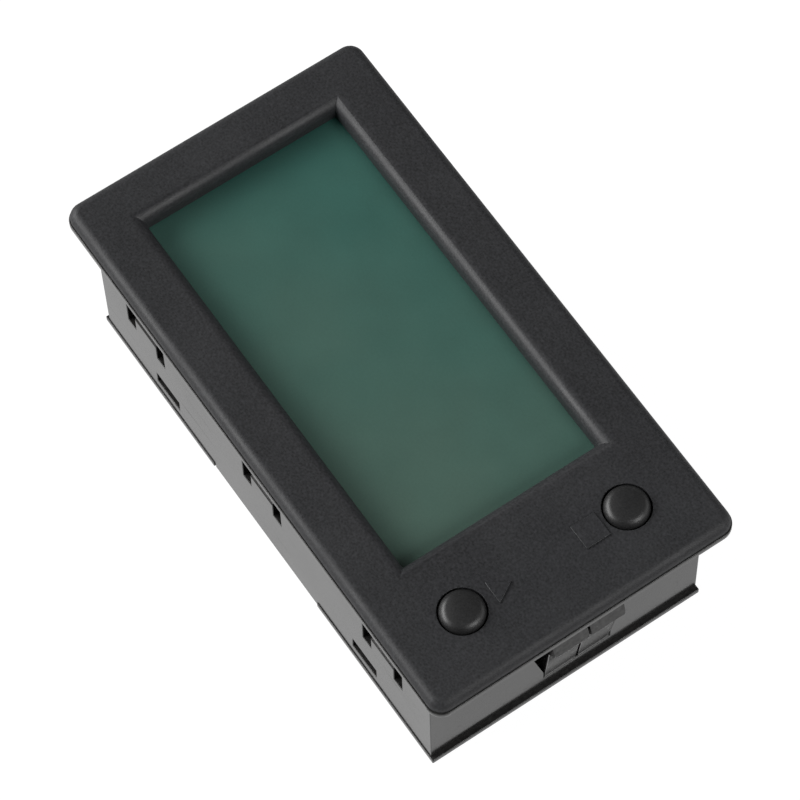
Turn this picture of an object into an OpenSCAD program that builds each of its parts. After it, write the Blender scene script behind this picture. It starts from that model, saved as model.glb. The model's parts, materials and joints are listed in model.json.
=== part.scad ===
// Panel-mount display head of a battery monitor: snap-in case, large LCD and two push buttons.
// The origin is the centre of the back face, +Z points out of the display face,
// +X runs along the case towards the buttons and +Y is the top of the display.

/* [Case] */
// Length of the front bezel
bezel_l = 86.5; // [84:0.5:110]
// Width of the front bezel
bezel_w = 46; // [44:0.5:60]
// Depth behind the panel, from the seat to the back face
body_depth = 24.7; // [24:0.1:40]
// Thickness of the rim in front of the panel, flange and bezel together
rim_t = 2.8; // [2.4:0.1:4]
// Thickness of the housing's flange under the bezel
flange_t = 1; // [0.4:0.1:1]
// How far the flange stands out all round the bezel
flange_out = 0.2; // [0.05:0.05:0.3]
// How far the rim overhangs the box at each end
overhang_end = 4.4; // [3.8:0.1:8]
// How far the rim overhangs the box at each side
overhang_side = 1.85; // [1.8:0.05:6]
// Corner radius of the bezel in plan
corner_r = 2.1; // [1.6:0.1:6]
// Radius of the bezel's rounded front edge
edge_r = 1.4; // [0.5:0.1:1.5]
// Wall of the rear housing
wall = 1.5; // [1.2:0.1:2]
// Thickness of the rear cover
cover_t = 1; // [0.8:0.1:1.4]
// How far the rear cover's lip stands out at each end
lip_end = 0.6; // [0.2:0.1:1.5]
// How far the rear cover's lip stands out at each side
lip_side = 0.15; // [0:0.05:0.3]
// Length of the gap in the lip in the middle of each side
lip_gap = 24.8; // [10:0.2:34]

/* [Display window] */
// Length of the window
win_l = 60; // [45:0.5:60]
// Width of the window
win_w = 30; // [20:0.5:30.5]
// Distance from the bezel's left end to the window
win_margin = 7.4; // [7.4:0.1:12]
// Radius of the window's rolled edge
win_edge_r = 1.7; // [0.5:0.1:1.8]
// Depth of the display below the face
glass_depth = 3.4; // [2.9:0.1:4.5]
// Wall of the well around the window
well_t = 1; // [0.8:0.1:1.1]

/* [Buttons] */
// Distance from the bezel's button end to the button centres
button_margin = 9.5; // [8.8:0.1:10]
// Distance between the two button centres
button_pitch = 25.2; // [20:0.2:27]
// Diameter of a button cap
cap_d = 6.1; // [5:0.1:7]
// Gap all round a button cap
cap_gap = 0.2; // [0.15:0.05:0.4]
// Height of a button cap above the face
cap_proud = 1.1; // [0.6:0.1:2]
// Radius of a button cap's top edge
cap_edge_r = 1.3; // [0.3:0.1:1.4]
// Radius of a button cap's domed top
cap_dome_r = 9; // [6:0.5:30]
// Travel of a button
button_travel = 0.3; // [0.2:0.05:0.35]

/* [Marks by the buttons] */
// Side of the square mark
square_side = 3.7; // [2:0.1:4]
// Side of the triangle mark
triangle_side = 3.4; // [2:0.1:4]
// Height of a raised mark
mark_h = 0.2; // [0.1:0.05:0.4]
// Distance from a button's centre to its mark's centre
mark_offset = 5.7; // [5:0.1:7]

/* [Side windows and hooks] */
// Length of a side window
side_win_l = 9; // [7:0.2:12]
// Height of a side window
side_win_h = 7.8; // [6:0.1:8.5]
// Distance from the rim down to a side window's lower edge
side_win_drop = 13.8; // [12:0.1:15]
// Distance between side windows
side_win_pitch = 28; // [20:0.5:29]
// Width of the tongue in a side window
tongue_w = 5.2; // [4:0.1:6]
// Height of the tongue
tongue_h = 3.4; // [2:0.1:3.8]
// Thickness of the tongue
tongue_t = 1.1; // [0.7:0.1:1.1]
// Length of a hook slot near the rear edge
slot_l = 5.5; // [4:0.1:8]
// Height of a hook slot
slot_h = 2.4; // [1.6:0.1:2.8]
// Height of a hook slot's lower edge above the back face
slot_z = 2.8; // [1.8:0.1:3]
// Distance between the two hook slots of a side
slot_pitch = 47.1; // [30:0.1:60]

/* [Latches] */
// Width of a pair of latch arms at the root
latch_w = 10.3; // [8:0.1:12]
// Width of the slit between a pair's arms
latch_slit = 0.3; // [0.2:0.05:0.6]
// Sideways offset of the latches from the middle of the end
latch_y = 1.9; // [-3:0.1:3]
// Height of a latch's hinge line above the back face
latch_root_z = 4; // [4:0.1:5]
// Height of a latch's ridge above its hinge line
latch_ridge_h = 11.4; // [8:0.1:12]
// How far the ridge stands out of the end wall
latch_proud = 2.75; // [1.5:0.05:3]
// Thickness of a latch arm at its root
latch_t = 1.4; // [1:0.1:1.4]

/* [Boards] */
// Thickness of a circuit board
board_t = 1.6; // [1:0.2:1.6]
// Length of the connector board
rear_board_l = 46; // [44:0.5:60]
// Width of the connector board
rear_board_w = 30; // [28:0.5:34]
// Number of ways in the cable socket
socket_ways = 4; // [2:1:5]
// Pitch of the cable socket's pins
socket_pitch = 2.5; // [2:0.1:2.6]

/* [Hidden] */

$fn = 96;
cut = 0.5;          // how far a cutter passes a face
fit_gap = 0.15;     // clearance between case parts that slide together
board_gap = 0.2;    // clearance around a board or the display in the case
arm_gap = 0.12;     // clearance around a latch arm's root

// Heights
face_z = body_depth + rim_t;
bezel_z = body_depth + flange_t;
display_z = face_z - glass_depth;

// Case outlines
house_l = bezel_l - 2 * overhang_end;
house_w = bezel_w - 2 * overhang_side;
inner_l = house_l - 2 * wall;
inner_w = house_w - 2 * wall;
land_recess = 0.15;             // how far the flange sits back inside the panel seat
land_l = bezel_l - 2.4;         // length inside the panel seat
land_w = bezel_w - 3;           // width inside the panel seat
rim_h = 2;                      // height of the rear cover's inner rim
rim_wall = 1.2;                 // wall of the rear cover's inner rim

// Window and buttons
win_x = -bezel_l / 2 + win_margin + win_l / 2;
button_x = bezel_l / 2 - button_margin;
button_hole_d = cap_d + 2 * cap_gap;
mark_x = button_x + 0.1;

// Side windows, tongues and the hooks that catch them
side_win_z = body_depth - side_win_drop;
tongue_chamfer = 0.4;
leg_t = 1.2;
leg_w = 5;
leg_y = inner_w / 2 - fit_gap - leg_t;
leg_z = side_win_z + tongue_h + 0.2;
nose_out = 1;
nose_h = 3;
hook_w = 5;
hook_top = slot_z + slot_h - 0.5;
hook_nose_h = 1.4;

// Latch arms: outline of the arm seen from the side, outwards and upwards from its hinge line
latch_bend_h = latch_ridge_h - 2;       // height where the straight arm ends and the lead-in starts
latch_bend = 1.2;               // how far the arm leans out there
latch_top_h = latch_ridge_h + 3.8;      // height of the free end
latch_top = 1.4;                // how far the outer face stands out at the free end
latch_top_in = 0.3;             // inner face at the free end
latch_flare = 0.5;              // how much wider each arm is at the free end
latch_nip = 0.2;                // corner taken off the ridge's outer end
latch_open_z = 4.9;             // height where the opening starts to spread
latch_open_slope = 0.26;        // how fast the opening spreads on each side towards the rim
latch_open_top = latch_root_z + latch_top_h + 0.8;

// Display stack, from the front down
polarizer_t = 0.2;
glass_t = 0.9;
seal_t = 0.1;
film_t = 0.2;
guide_t = 1.8;
gasket_t = 0.3;
front_glass_z = display_z - polarizer_t - glass_t;
rear_glass_z = front_glass_z - seal_t - glass_t;
rear_polarizer_z = rear_glass_z - polarizer_t;
diffuser_z = rear_polarizer_z - film_t;
guide_z = diffuser_z - guide_t;
board_top = guide_z - film_t;
board_z = board_top - board_t;
frame_wall = 0.4;
frame_gap = 0.1;                // clearance between the glass and its frame
glass_over = min(1.2, inner_l / 2 + win_x - win_l / 2 - board_gap - frame_wall - frame_gap);
glass_l = win_l + 2 * glass_over;
glass_w = win_w + 4.8;
frame_l = glass_l + 2 * (frame_gap + frame_wall);
frame_w = glass_w + 2 * (frame_gap + frame_wall);
ledge_w = 2.2;                  // width of the glass ledge that the zebra strip meets
stack_w = glass_w - ledge_w;
stack_y = ledge_w / 2;

// Main board
board_l = inner_l - 3 * board_gap;
board_w = 2 * (leg_y - board_gap);
notch_x = board_l / 2 - 1.4;
notch_w = latch_w + 4;
screw_x = win_x + win_l / 2 + 5.2;
screw_y = 6;
pilot_d = 1.7;
screw_d = 1.6;
boss_d = 4.4;
// The parts under this board are set out from its left end, and close up with the strip that holds them
layout_l = 66.8;
layout_scale = (board_l / 2 + screw_x) / layout_l;
function layout_x(distance) = distance * layout_scale - board_l / 2;
capacitor_x = layout_x(57.2);
fuse_x = capacitor_x - 10;

// Switches
switch_side = 6;
switch_h = 1.6;
pocket_d = 4.8;
dome_t = 0.1;
dome_rise = button_travel;       // the dome is pressed flat over the button's whole travel
pocket_deep = dome_rise + 0.5;
cover_sheet = 0.2;
plunger_d = 3.3;
collar_d = 4.2;
collar_h = 0.25;
collar_z = board_top + switch_h - 0.1 - collar_h;
flange_h = 0.8;
ear_span = 8.4;
ear_w = 5;
cap_under = bezel_z - 0.1 - flange_h;
cap_boss_h = 0.6;
plunger_top = cap_under - cap_boss_h - 0.05;

// Connector board
socket_h = 7;
socket_sink = 0.6;              // how far the socket's mouth sits inside the back face
rear_board_z = socket_sink + socket_h;
rear_board_top = rear_board_z + board_t;
rear_boss_x = rear_board_l / 2 - 3;
rear_boss_y = rear_board_w / 2 - 3;
socket_x = 10;
socket_l = socket_ways * socket_pitch + 2.4;
socket_w = 5.8;
socket_wall = 0.8;
pin_side = 0.64;
header_x = -12;
header_y = -9;
header_ways = 6;
header_pitch = 2.54;
header_block_h = 2.5;
header_w = 2.5;
header_l = header_ways * header_pitch;

black = [0.17, 0.17, 0.18];
dark = [0.24, 0.24, 0.25];
board_green = [0.05, 0.3, 0.16];

// A box centred on X and Y that stands on z
module block(l, w, h, x = 0, y = 0, z = 0) {
    translate([x - l / 2, y - w / 2, z]) cube([l, w, h]);
}

// An upright round bar that stands on z
module post(d, h, x = 0, y = 0, z = 0) {
    translate([x, y, z]) cylinder(d = d, h = h);
}

// A box with round vertical corners
module round_block(l, w, r, h) {
    block(l - 2 * r, w, h);
    block(l, w - 2 * r, h);
    for (sx = [-1, 1], sy = [-1, 1])
        translate([sx * (l / 2 - r), sy * (w / 2 - r), 0]) cylinder(r = r, h = h);
}

// A plate with round corners and a quarter-round front edge
module soft_plate(l, w, r, h, er) {
    round_block(l, w, r, h - er);
    translate([0, 0, h - er]) round_block(l - 2 * er, w - 2 * er, r - er, er);
    intersection() {
        union() {
            for (s = [-1, 1]) {
                translate([0, s * (w / 2 - er), h - er])
                    rotate([0, 90, 0]) cylinder(r = er, h = l - 2 * r, center = true);
                translate([s * (l / 2 - er), 0, h - er])
                    rotate([90, 0, 0]) cylinder(r = er, h = w - 2 * r, center = true);
            }
            for (sx = [-1, 1], sy = [-1, 1])
                translate([sx * (l / 2 - r), sy * (w / 2 - r), h - er])
                    rotate_extrude() intersection() {
                        translate([r - er, 0]) circle(r = er);
                        translate([0, -er]) square([r, 2 * er]);
                    }
        }
        block(l + cut, w + cut, h);
    }
}

// A flat frame
module ring(l, w, in_l, in_w, h, x = 0, y = 0, z = 0) {
    difference() {
        block(l, w, h, x, y, z);
        block(in_l, in_w, h + 2 * cut, x, y, z - cut);
    }
}

// The corner that a quarter-round takes off one window edge, mitred at both ends.
// The edge runs along Y for a window of the given half length and width.
module edge_round(half_l, half_w, r) {
    intersection() {
        translate([half_l, half_w + r + cut, 0]) rotate([90, 0, 0])
            linear_extrude(2 * (half_w + r + cut)) difference() {
                translate([-cut, -r]) square([r + cut, r + cut]);
                translate([r, -r]) circle(r = r);
            }
        translate([0, 0, -r - cut]) linear_extrude(r + 2 * cut) polygon([
            [half_l - half_w - cut, -cut], [half_l + r, half_w + r],
            [half_l + r, -half_w - r], [half_l - half_w - cut, cut]
        ]);
    }
}

module window_rounding() {
    for (a = [0, 180])
        rotate(a) edge_round(win_l / 2, win_w / 2, win_edge_r);
    for (a = [90, 270])
        rotate(a) edge_round(win_w / 2, win_l / 2, win_edge_r);
}

// Raised marks: a square by the upper button and a triangle by the lower one
module marks() {
    block(square_side, square_side, mark_h + cut, mark_x, button_pitch / 2 - mark_offset, face_z - cut);
    translate([mark_x, -button_pitch / 2 + mark_offset - 0.25, face_z - cut])
        rotate(90) cylinder(r = triangle_side / sqrt(3), h = mark_h + cut, $fn = 3);
}

// Legs under the bezel whose noses catch the tops of the tongues
module bezel_legs() {
    for (i = [-1, 0, 1], s = [-1, 1]) {
        x = i * side_win_pitch;
        block(leg_w, leg_t, bezel_z - leg_z, x, s * (leg_y + leg_t / 2), leg_z);
        block(leg_w, nose_out + leg_t, nose_h, x, s * (leg_y + (leg_t + nose_out) / 2), leg_z);
    }
}

module front_bezel() {
    well_z = display_z + gasket_t;
    color(black) difference() {
        union() {
            translate([0, 0, bezel_z]) soft_plate(bezel_l, bezel_w, corner_r, face_z - bezel_z, edge_r);
            block(win_l + 2 * well_t, win_w + 2 * well_t, bezel_z - well_z, win_x, 0, well_z);
            bezel_legs();
            marks();
            for (s = [-1, 1])
                post(boss_d, bezel_z - board_top, screw_x, s * screw_y, board_top);
        }
        block(win_l, win_w, glass_depth + cut, win_x, 0, face_z - glass_depth);
        translate([win_x, 0, face_z]) window_rounding();
        for (s = [-1, 1]) {
            post(button_hole_d, rim_t + 2 * cut, button_x, s * button_pitch / 2, bezel_z - cut);
            post(pilot_d, 5, screw_x, s * screw_y, board_top - cut);
        }
    }
}

// The tongue that stands in a side window, its top outer edge taken off
module tongue() {
    y_out = house_w / 2;
    rotate([90, 0, 90]) linear_extrude(tongue_w, center = true) polygon([
        [y_out - tongue_t, side_win_z - cut], [y_out, side_win_z - cut],
        [y_out, side_win_z + tongue_h - tongue_chamfer],
        [y_out - tongue_chamfer, side_win_z + tongue_h],
        [y_out - tongue_t, side_win_z + tongue_h]
    ]);
}

// The opening in an end wall that a pair of latch arms stands in, wider towards the rim
module latch_opening() {
    half = latch_w / 2 + arm_gap;
    low = latch_root_z - latch_t / 2 - arm_gap;
    wide = half + latch_open_slope * (latch_open_top - latch_open_z);
    translate([house_l / 2 - wall - cut, latch_y, 0]) rotate([90, 0, 90])
        linear_extrude(wall + 2 * cut) polygon([
            [-half, low], [half, low], [half, latch_open_z], [wide, latch_open_top],
            [-wide, latch_open_top], [-half, latch_open_z]
        ]);
}

// Ribs inside the end walls that the main board rests on
module board_ribs() {
    rib = 1.6;
    for (sx = [-1, 1], sy = [-1, 1])
        block(rib + cut, 3, 5, sx * (inner_l / 2 - (rib - cut) / 2), sy * (board_w / 2 - 2.6), board_z - 5);
}

module rear_housing() {
    color(dark) {
        difference() {
            union() {
                block(house_l, house_w, bezel_z - cover_t, 0, 0, cover_t);
                translate([0, 0, body_depth])
                    round_block(bezel_l + 2 * flange_out, bezel_w + 2 * flange_out,
                                corner_r + flange_out, flange_t);
                block(lip_gap - 2 * fit_gap, house_w, cover_t, 0, 0, 0);
            }
            block(inner_l, inner_w, face_z, 0, 0, -cut);
            difference() {
                block(land_l, land_w, land_recess + cut, 0, 0, body_depth - cut);
                block(house_l, house_w, land_recess + 2 * cut, 0, 0, body_depth - 2 * cut);
            }
            for (i = [-1, 0, 1])
                block(side_win_l, house_w + 2 * cut, side_win_h, i * side_win_pitch, 0, side_win_z);
            for (i = [-1, 1])
                block(slot_l, house_w + 2 * cut, slot_h, i * slot_pitch / 2, 0, slot_z);
            latch_opening();
            mirror([1, 0, 0]) latch_opening();
        }
        for (i = [-1, 0, 1]) {
            translate([i * side_win_pitch, 0, 0]) tongue();
            translate([i * side_win_pitch, 0, 0]) mirror([0, 1, 0]) tongue();
        }
        board_ribs();
    }
}

// Snap hooks on the rear cover whose noses sit in the housing's slots
module cover_hooks() {
    y_out = inner_w / 2 - fit_gap;
    for (i = [-1, 1], s = [-1, 1]) {
        block(hook_w, rim_wall, hook_top - cover_t, i * slot_pitch / 2, s * (y_out - rim_wall / 2), cover_t);
        block(hook_w, rim_wall + nose_out, hook_nose_h, i * slot_pitch / 2,
              s * (y_out + (nose_out - rim_wall) / 2), hook_top - hook_nose_h);
    }
}

module rear_cover() {
    color(black) difference() {
        union() {
            block(house_l + 2 * lip_end, house_w + 2 * lip_side, cover_t);
            ring(inner_l - 2 * fit_gap, inner_w - 2 * fit_gap,
                 inner_l - 2 * fit_gap - 2 * rim_wall, inner_w - 2 * fit_gap - 2 * rim_wall,
                 rim_h, 0, 0, cover_t);
            cover_hooks();
            for (sx = [-1, 1], sy = [-1, 1])
                post(boss_d, rear_board_z - cover_t, sx * rear_boss_x, sy * rear_boss_y, cover_t);
        }
        for (s = [-1, 1])
            block(lip_gap, wall + fit_gap + cut, cover_t + cut,
                  0, s * (house_w / 2 - wall - fit_gap + (wall + fit_gap + cut) / 2), -cut);
        for (sx = [-1, 1], sy = [-1, 1])
            post(pilot_d, 5, sx * rear_boss_x, sy * rear_boss_y, rear_board_z - 4.5);
        block(socket_l + 2 * fit_gap, socket_w + 2 * fit_gap, cover_t + 2 * cut, socket_x, 0, -cut);
    }
}

// One latch arm at the button end, on the far side of the slit; the others are its mirror images
module latch_arm() {
    half = latch_w / 2;
    ridge_half = half + latch_flare * latch_ridge_h / latch_top_h;
    x0 = house_l / 2;
    z0 = latch_root_z;
    color(dark) translate([0, latch_y, 0]) {
        intersection() {
            translate([x0, latch_w, z0]) rotate([90, 0, 0]) linear_extrude(2 * latch_w) polygon([
                [0, 0], [latch_bend, latch_bend_h], [latch_proud, latch_ridge_h],
                [latch_top, latch_top_h], [latch_top_in, latch_top_h],
                [latch_bend - latch_t + 0.1, latch_bend_h], [-latch_t, 0]
            ]);
            translate([x0 - 2 * latch_t, 0, z0]) rotate([90, 0, 90]) linear_extrude(6) polygon([
                [latch_slit / 2, -cut], [half, -cut], [half, 0],
                [half + latch_flare, latch_top_h], [half + latch_flare, latch_top_h + cut],
                [latch_slit / 2, latch_top_h + cut]
            ]);
            translate([x0, 0, z0 - cut]) linear_extrude(latch_top_h + 2 * cut) polygon([
                [-2 * latch_t, 0], [latch_proud + cut, 0],
                [latch_proud + cut, ridge_half - latch_nip - cut],
                [latch_proud - latch_nip - cut, ridge_half + cut], [-2 * latch_t, ridge_half + cut]
            ]);
        }
        translate([x0 - latch_t / 2, latch_slit / 2, z0 - latch_t / 2])
            cube([latch_t / 2, half - latch_slit / 2, latch_t / 2]);
        translate([x0 - latch_t / 2, half, z0])
            rotate([90, 0, 0]) cylinder(d = latch_t, h = half - latch_slit / 2);
    }
}

module arm_mirror_y() {
    translate([0, latch_y, 0]) mirror([0, 1, 0]) translate([0, -latch_y, 0]) children();
}

module latch_arm_right_upper() { latch_arm(); }
module latch_arm_right_lower() { arm_mirror_y() latch_arm(); }
module latch_arm_left_upper() { mirror([1, 0, 0]) latch_arm(); }
module latch_arm_left_lower() { mirror([1, 0, 0]) arm_mirror_y() latch_arm(); }

// A button cap: domed top that runs into a round edge, two ears under the bezel and a boss
module button_cap(s) {
    edge_x = cap_d / 2 - cap_edge_r;
    dome_z = face_z + cap_proud - cap_dome_r;
    rise = sqrt(pow(cap_dome_r - cap_edge_r, 2) - edge_x * edge_x);
    lift = 0.002;                   // lets the round edge cross the dome instead of just touching it
    edge_z = dome_z + rise + lift;
    color(black) translate([button_x, s * button_pitch / 2, 0]) {
        post(cap_d, edge_z - cap_under, 0, 0, cap_under);
        translate([0, 0, edge_z]) rotate_extrude() translate([edge_x, 0]) circle(r = cap_edge_r);
        intersection() {
            translate([0, 0, dome_z]) sphere(r = cap_dome_r);
            post(2 * edge_x * cap_dome_r / (cap_dome_r - cap_edge_r), cap_dome_r, 0, 0, edge_z - 0.5);
        }
        block(ear_w, ear_span, flange_h, 0, 0, cap_under);
        post(plunger_d, cap_boss_h, 0, 0, cap_under - cap_boss_h);
    }
}

module button_cap_upper() { button_cap(1); }
module button_cap_lower() { button_cap(-1); }

module window_gasket() {
    color([0.06, 0.06, 0.06])
        ring(win_l + 2 * well_t, win_w + 2 * well_t, win_l + 0.6, win_w + 0.6, gasket_t, win_x, 0, display_z);
}

module lcd_front_polarizer() {
    color([0.22, 0.36, 0.32]) block(glass_l, win_w + 3, polarizer_t, win_x, 0, display_z - polarizer_t);
}

module lcd_front_glass() {
    color([0.6, 0.75, 0.7, 0.6]) block(glass_l, glass_w, glass_t, win_x, 0, front_glass_z);
}

module lcd_seal() {
    color([0.3, 0.3, 0.28])
        ring(glass_l - 0.6, stack_w - 0.6, glass_l - 2.6, stack_w - 2.6, seal_t,
             win_x, stack_y, front_glass_z - seal_t);
}

module lcd_rear_glass() {
    color([0.55, 0.7, 0.66, 0.6]) block(glass_l, stack_w, glass_t, win_x, stack_y, rear_glass_z);
}

module lcd_rear_polarizer() {
    color([0.3, 0.34, 0.33]) block(glass_l, stack_w - 0.6, polarizer_t, win_x, stack_y, rear_polarizer_z);
}

module diffuser_sheet() {
    color([0.93, 0.94, 0.94]) block(glass_l - 2, stack_w - 0.8, film_t, win_x - 1, stack_y, diffuser_z);
}

module light_guide() {
    color([0.88, 0.93, 0.95, 0.7]) block(glass_l - 2, stack_w - 0.8, guide_t, win_x - 1, stack_y, guide_z);
}

module reflector_sheet() {
    color([0.95, 0.95, 0.94]) block(glass_l - 2, stack_w - 0.8, film_t, win_x - 1, stack_y, board_top);
}

module backlight_leds() {
    color([0.95, 0.93, 0.8]) for (s = [-1, 1])
        block(1.2, 3, 1.5, win_x + glass_l / 2 - 0.9, s * 8, board_top);
}

module lcd_frame() {
    color([0.85, 0.86, 0.86])
        ring(frame_l, frame_w, glass_l + 2 * frame_gap, glass_w + 2 * frame_gap,
             display_z - board_top - polarizer_t - 0.1,
             win_x, 0, board_top);
}

module zebra_strip() {
    color([0.5, 0.5, 0.52])
        block(glass_l - 5, 1.4, front_glass_z - board_top, win_x, -glass_w / 2 + 1, board_top);
}

module main_board() {
    color(board_green) difference() {
        block(board_l, board_w, board_t, 0, 0, board_z);
        for (s = [-1, 1]) {
            block(4, notch_w, board_t + 2 * cut, s * (notch_x + 2), latch_y, board_z - cut);
            post(screw_d + 0.6, board_t + 2 * cut, screw_x, s * screw_y, board_z - cut);
        }
    }
}

// A pan-head screw that points up from the board it holds
module screw_up(x, y, z, grip) {
    post(3.4, 1.2, x, y, z - 1.2);
    post(screw_d, grip + 3.2, x, y, z);
}

module main_board_screws() {
    color([0.75, 0.76, 0.78]) for (s = [-1, 1]) difference() {
        screw_up(screw_x, s * screw_y, board_z, board_t);
        block(2.2, 0.5, 1, screw_x, s * screw_y, board_z - 1.2 - cut);
        block(0.5, 2.2, 1, screw_x, s * screw_y, board_z - 1.2 - cut);
    }
}

module switch_base(s) {
    color([0.12, 0.12, 0.13]) difference() {
        block(switch_side, switch_side, switch_h, button_x, s * button_pitch / 2, board_top);
        post(pocket_d, pocket_deep + cut, button_x, s * button_pitch / 2, board_top + switch_h - pocket_deep);
    }
}

module switch_cover(s) {
    top = board_top + switch_h;
    color([0.72, 0.73, 0.74]) translate([button_x, s * button_pitch / 2, 0]) difference() {
        union() {
            block(switch_side, switch_side + 2 * cover_sheet, cover_sheet, 0, 0, top);
            for (e = [-1, 1])
                block(switch_side - 2, cover_sheet, switch_h - 0.4, 0,
                      e * (switch_side + cover_sheet) / 2, board_top + 0.4);
        }
        post(plunger_d + 0.4, 2, 0, 0, top - cut);
    }
}

module switch_dome(s) {
    floor_z = board_top + switch_h - pocket_deep;
    color([0.8, 0.8, 0.78]) translate([button_x, s * button_pitch / 2, floor_z])
        rotate_extrude() polygon([
            [0, dome_rise], [1.4, dome_rise], [2.2, 0],
            [2.2, dome_t], [1.4, dome_rise + dome_t], [0, dome_rise + dome_t]
        ]);
}

module switch_plunger(s) {
    color([0.15, 0.15, 0.16]) {
        post(collar_d, collar_h, button_x, s * button_pitch / 2, collar_z);
        post(plunger_d, plunger_top - collar_z, button_x, s * button_pitch / 2, collar_z);
    }
}

module switch_base_upper() { switch_base(1); }
module switch_base_lower() { switch_base(-1); }
module switch_cover_upper() { switch_cover(1); }
module switch_cover_lower() { switch_cover(-1); }
module switch_dome_upper() { switch_dome(1); }
module switch_dome_lower() { switch_dome(-1); }
module switch_plunger_upper() { switch_plunger(1); }
module switch_plunger_lower() { switch_plunger(-1); }

// A flat package under the main board with legs on two or four sides
module chip(l, w, h, x, y, legs, sides) {
    block(l, w, h - 0.1, x, y, board_z - h);
    translate([x, y, board_z]) for (a = [0 : 360 / sides : 359]) rotate(a)
        for (i = [0 : legs - 1])
            block(0.9, 0.3, 0.5, (a % 180 == 0 ? l : w) / 2 + 0.35, (i - (legs - 1) / 2) * 0.8, -0.5);
}

module microcontroller() { color(black) chip(10, 10, 1.5, layout_x(29.2), 3, 10, 4); }
module display_driver() { color(black) chip(7, 7, 1.2, layout_x(12.2), -6, 6, 4); }
module memory_chip() { color(black) chip(4, 5, 1.5, layout_x(45.2), 9, 4, 2); }
module voltage_regulator() { color(black) chip(4, 6.5, 1.7, layout_x(59.2), -8, 3, 2); }

module crystal() {
    color([0.8, 0.8, 0.8]) block(11, 4.6, 3.5, -10, 13.5, board_z - 3.5);
}

module electrolytic_capacitors() {
    color([0.12, 0.16, 0.3]) for (x = [layout_x(11.2), capacitor_x])
        post(6.3, 7, x, 8, board_z - 7);
}

module ceramic_capacitors() {
    color([0.72, 0.6, 0.42]) for (i = [0 : 5])
        block(2, 1.25, 0.9, -20 + i * 5, -14 + (i % 2) * 2.4, board_z - 0.9);
}

module chip_resistors() {
    color([0.1, 0.1, 0.1]) for (i = [0 : 7])
        block(1.6, 0.8, 0.45, layout_x(51.2) + (i % 4) * 2.6, 1.5 + floor(i / 4) * 1.8, board_z - 0.45);
}

// Square pins, or the holes for them, in a row along X
module pin_row(ways, pitch, side, x, y, z0, z1) {
    for (i = [0 : ways - 1])
        block(side, side, z1 - z0, x + (i - (ways - 1) / 2) * pitch, y, z0);
}

module board_socket() {
    low = rear_board_top + header_block_h;
    color(black) difference() {
        block(header_l, header_w, board_z - low, header_x, header_y, low);
        pin_row(header_ways, header_pitch, pin_side + 0.16, header_x, header_y, low - cut, low + 4.5);
    }
}

module board_header() {
    low = rear_board_top;
    color([0.75, 0.65, 0.35]) {
        block(header_l, header_w, header_block_h, header_x, header_y, low);
        pin_row(header_ways, header_pitch, pin_side, header_x, header_y, low, low + header_block_h + 4);
    }
}

module connector_board() {
    color(board_green) difference() {
        block(rear_board_l, rear_board_w, board_t, 0, 0, rear_board_z);
        for (sx = [-1, 1], sy = [-1, 1])
            post(screw_d + 0.6, board_t + 2 * cut, sx * rear_boss_x, sy * rear_boss_y, rear_board_z - cut);
        pin_row(socket_ways, socket_pitch, pin_side + 0.3, socket_x, 0,
                rear_board_z - cut, rear_board_top + cut);
    }
}

module connector_board_screws() {
    color([0.75, 0.76, 0.78]) for (sx = [-1, 1], sy = [-1, 1])
        translate([sx * rear_boss_x, sy * rear_boss_y, rear_board_top]) difference() {
            rotate([180, 0, 0]) screw_up(0, 0, 0, board_t);
            block(2.2, 0.5, 1, 0, 0, 1.2 - 0.5);
            block(0.5, 2.2, 1, 0, 0, 1.2 - 0.5);
        }
}

module input_fuse() { color([0.9, 0.88, 0.8]) block(6.1, 2.6, 2.4, fuse_x, 8, rear_board_top); }

module power_choke() {
    color([0.2, 0.2, 0.21]) difference() {
        block(7, 7, 3.8, -10, 7, rear_board_top);
        post(5, 0.4 + cut, -10, 7, rear_board_top + 3.4);
    }
}

// Shrouded cable socket that faces out of the back
module cable_socket() {
    color([0.9, 0.89, 0.85]) difference() {
        block(socket_l, socket_w, socket_h, socket_x, 0, socket_sink);
        block(socket_l - 2 * socket_wall, socket_w - 2 * socket_wall, socket_h - 1.4 + cut,
              socket_x, 0, socket_sink - cut);
        for (s = [-1, 1])
            block(1.4, 2, 4 + cut, socket_x + s * socket_pitch, socket_w / 2, socket_sink - cut);
        pin_row(socket_ways, socket_pitch, pin_side + 0.1, socket_x, 0, socket_sink, rear_board_z + cut);
    }
}

module cable_socket_pins() {
    color([0.82, 0.82, 0.8])
        pin_row(socket_ways, socket_pitch, pin_side, socket_x, 0, socket_sink + 1.4, rear_board_top + 0.8);
}

front_bezel();
rear_housing();
rear_cover();
window_gasket();
latch_arm_right_upper();
latch_arm_right_lower();
latch_arm_left_upper();
latch_arm_left_lower();
button_cap_upper();
button_cap_lower();
lcd_front_polarizer();
lcd_front_glass();
lcd_seal();
lcd_rear_glass();
lcd_rear_polarizer();
diffuser_sheet();
light_guide();
reflector_sheet();
backlight_leds();
lcd_frame();
zebra_strip();
main_board();
main_board_screws();
switch_base_upper();
switch_cover_upper();
switch_dome_upper();
switch_plunger_upper();
switch_base_lower();
switch_cover_lower();
switch_dome_lower();
switch_plunger_lower();
microcontroller();
display_driver();
memory_chip();
voltage_regulator();
crystal();
electrolytic_capacitors();
ceramic_capacitors();
chip_resistors();
board_socket();
board_header();
connector_board();
connector_board_screws();
input_fuse();
power_choke();
cable_socket();
cable_socket_pins();
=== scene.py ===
"""Panel-mount display head of a battery monitor: the finish of every piece, and a small studio.

The construction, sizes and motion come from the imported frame. Moulded pieces are copies of their
CAD nodes with joined meshes and rounded edges; sheet, glass and small electronic pieces keep
their CAD meshes. Every piece gets a procedural material, and everything is in metres.
"""

import json
import math

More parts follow.
